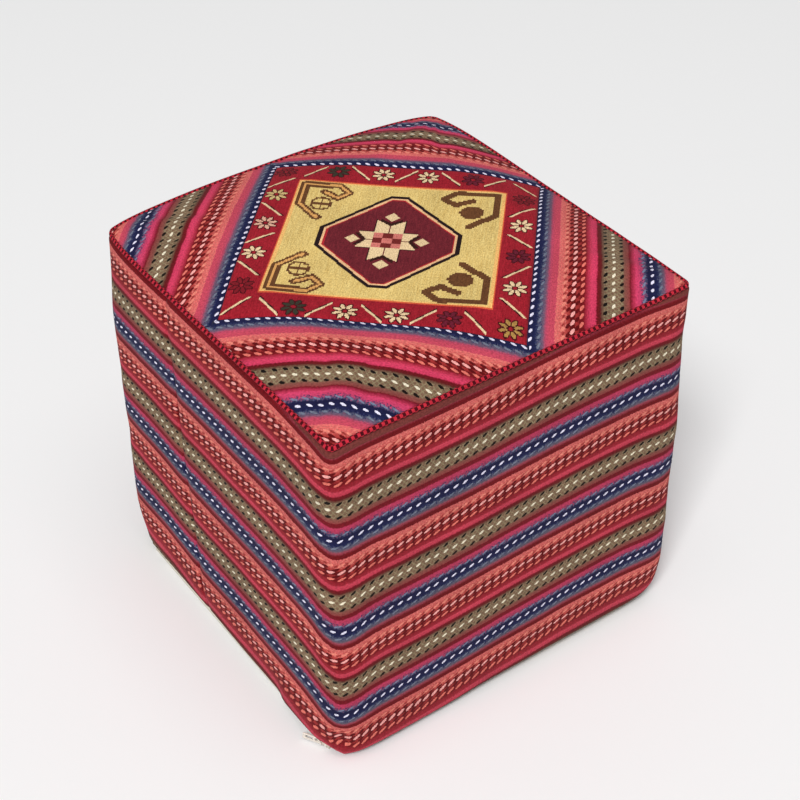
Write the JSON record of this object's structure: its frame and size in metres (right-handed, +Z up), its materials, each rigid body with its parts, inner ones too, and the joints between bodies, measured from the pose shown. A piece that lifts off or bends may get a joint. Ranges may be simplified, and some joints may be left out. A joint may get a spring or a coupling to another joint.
{
  "type": "kilim pouf",
  "caption": "Soft cube pouf with a domed seat: striped flat-woven cover with a medallion top, piped top edge and a hidden zip along the foot of one wall.",
  "frame": {"origin": "middle of the flat underside, on the floor", "axes": "+Z up; -X is the outward normal of the wall with the zip along its foot; -Y is the outward normal of the wall to the right of it as the picture shows them"},
  "size_m": [0.4077, 0.4, 0.413],
  "materials": {
    "medallion_weave": "flat woven wool, yellow field in a red border",
    "striped_weave": "flat woven wool in red, salmon, khaki and navy stripes",
    "piping_weave": "flat woven wool in small red checks",
    "cotton_cord": "twisted cotton",
    "base_canvas": "plain dark cotton canvas",
    "zip_tape": "ivory woven tape",
    "zip_coil": "ivory nylon coil",
    "zip_metal": "ivory lacquer on die-cast metal",
    "case_cotton": "unbleached plain cotton",
    "wadding": "white fibre wadding",
    "firm_foam": "firm open-cell foam",
    "soft_foam": "soft open-cell foam"
  },
  "bodies": {
    "pouf_body": {"medallion_panel": "medallion_weave", "corner_panel_front": "striped_weave", "corner_panel_right": "striped_weave", "corner_panel_back": "striped_weave", "corner_panel_left": "striped_weave", "top_piping": "piping_weave", "piping_cord": "cotton_cord", "side_band_long": "striped_weave", "side_band_short": "striped_weave", "base_panel": "base_canvas", "zip_tape_wall": "zip_tape", "zip_tape_base": "zip_tape", "zip_coil_wall": "zip_coil", "zip_coil_base": "zip_coil", "zip_end_stops": "zip_metal", "inner_case_base": "case_cotton", "inner_case_wall": "case_cotton", "inner_case_top": "case_cotton", "wadding_wall": "wadding", "wadding_top": "wadding", "foam_base_pad": "firm_foam", "foam_core": "firm_foam", "foam_seat_pad": "soft_foam"},
    "slider_body": {"zip_slider": "zip_metal"},
    "pull_body": {"zip_pull": "zip_metal"}
  },
  "joints": [
    {"name": "zip_slide", "type": "slide", "parent": "pouf_body", "child": "slider_body", "axis": [0, 1, 0], "range_m": [0, 0.3]},
    {"name": "pull_swing", "type": "hinge", "parent": "slider_body", "child": "pull_body", "pos_m": [-0.1971, -0.162, 0.0065], "axis": [0, 0, 1], "range_deg": [-27, 135]}
  ]
}
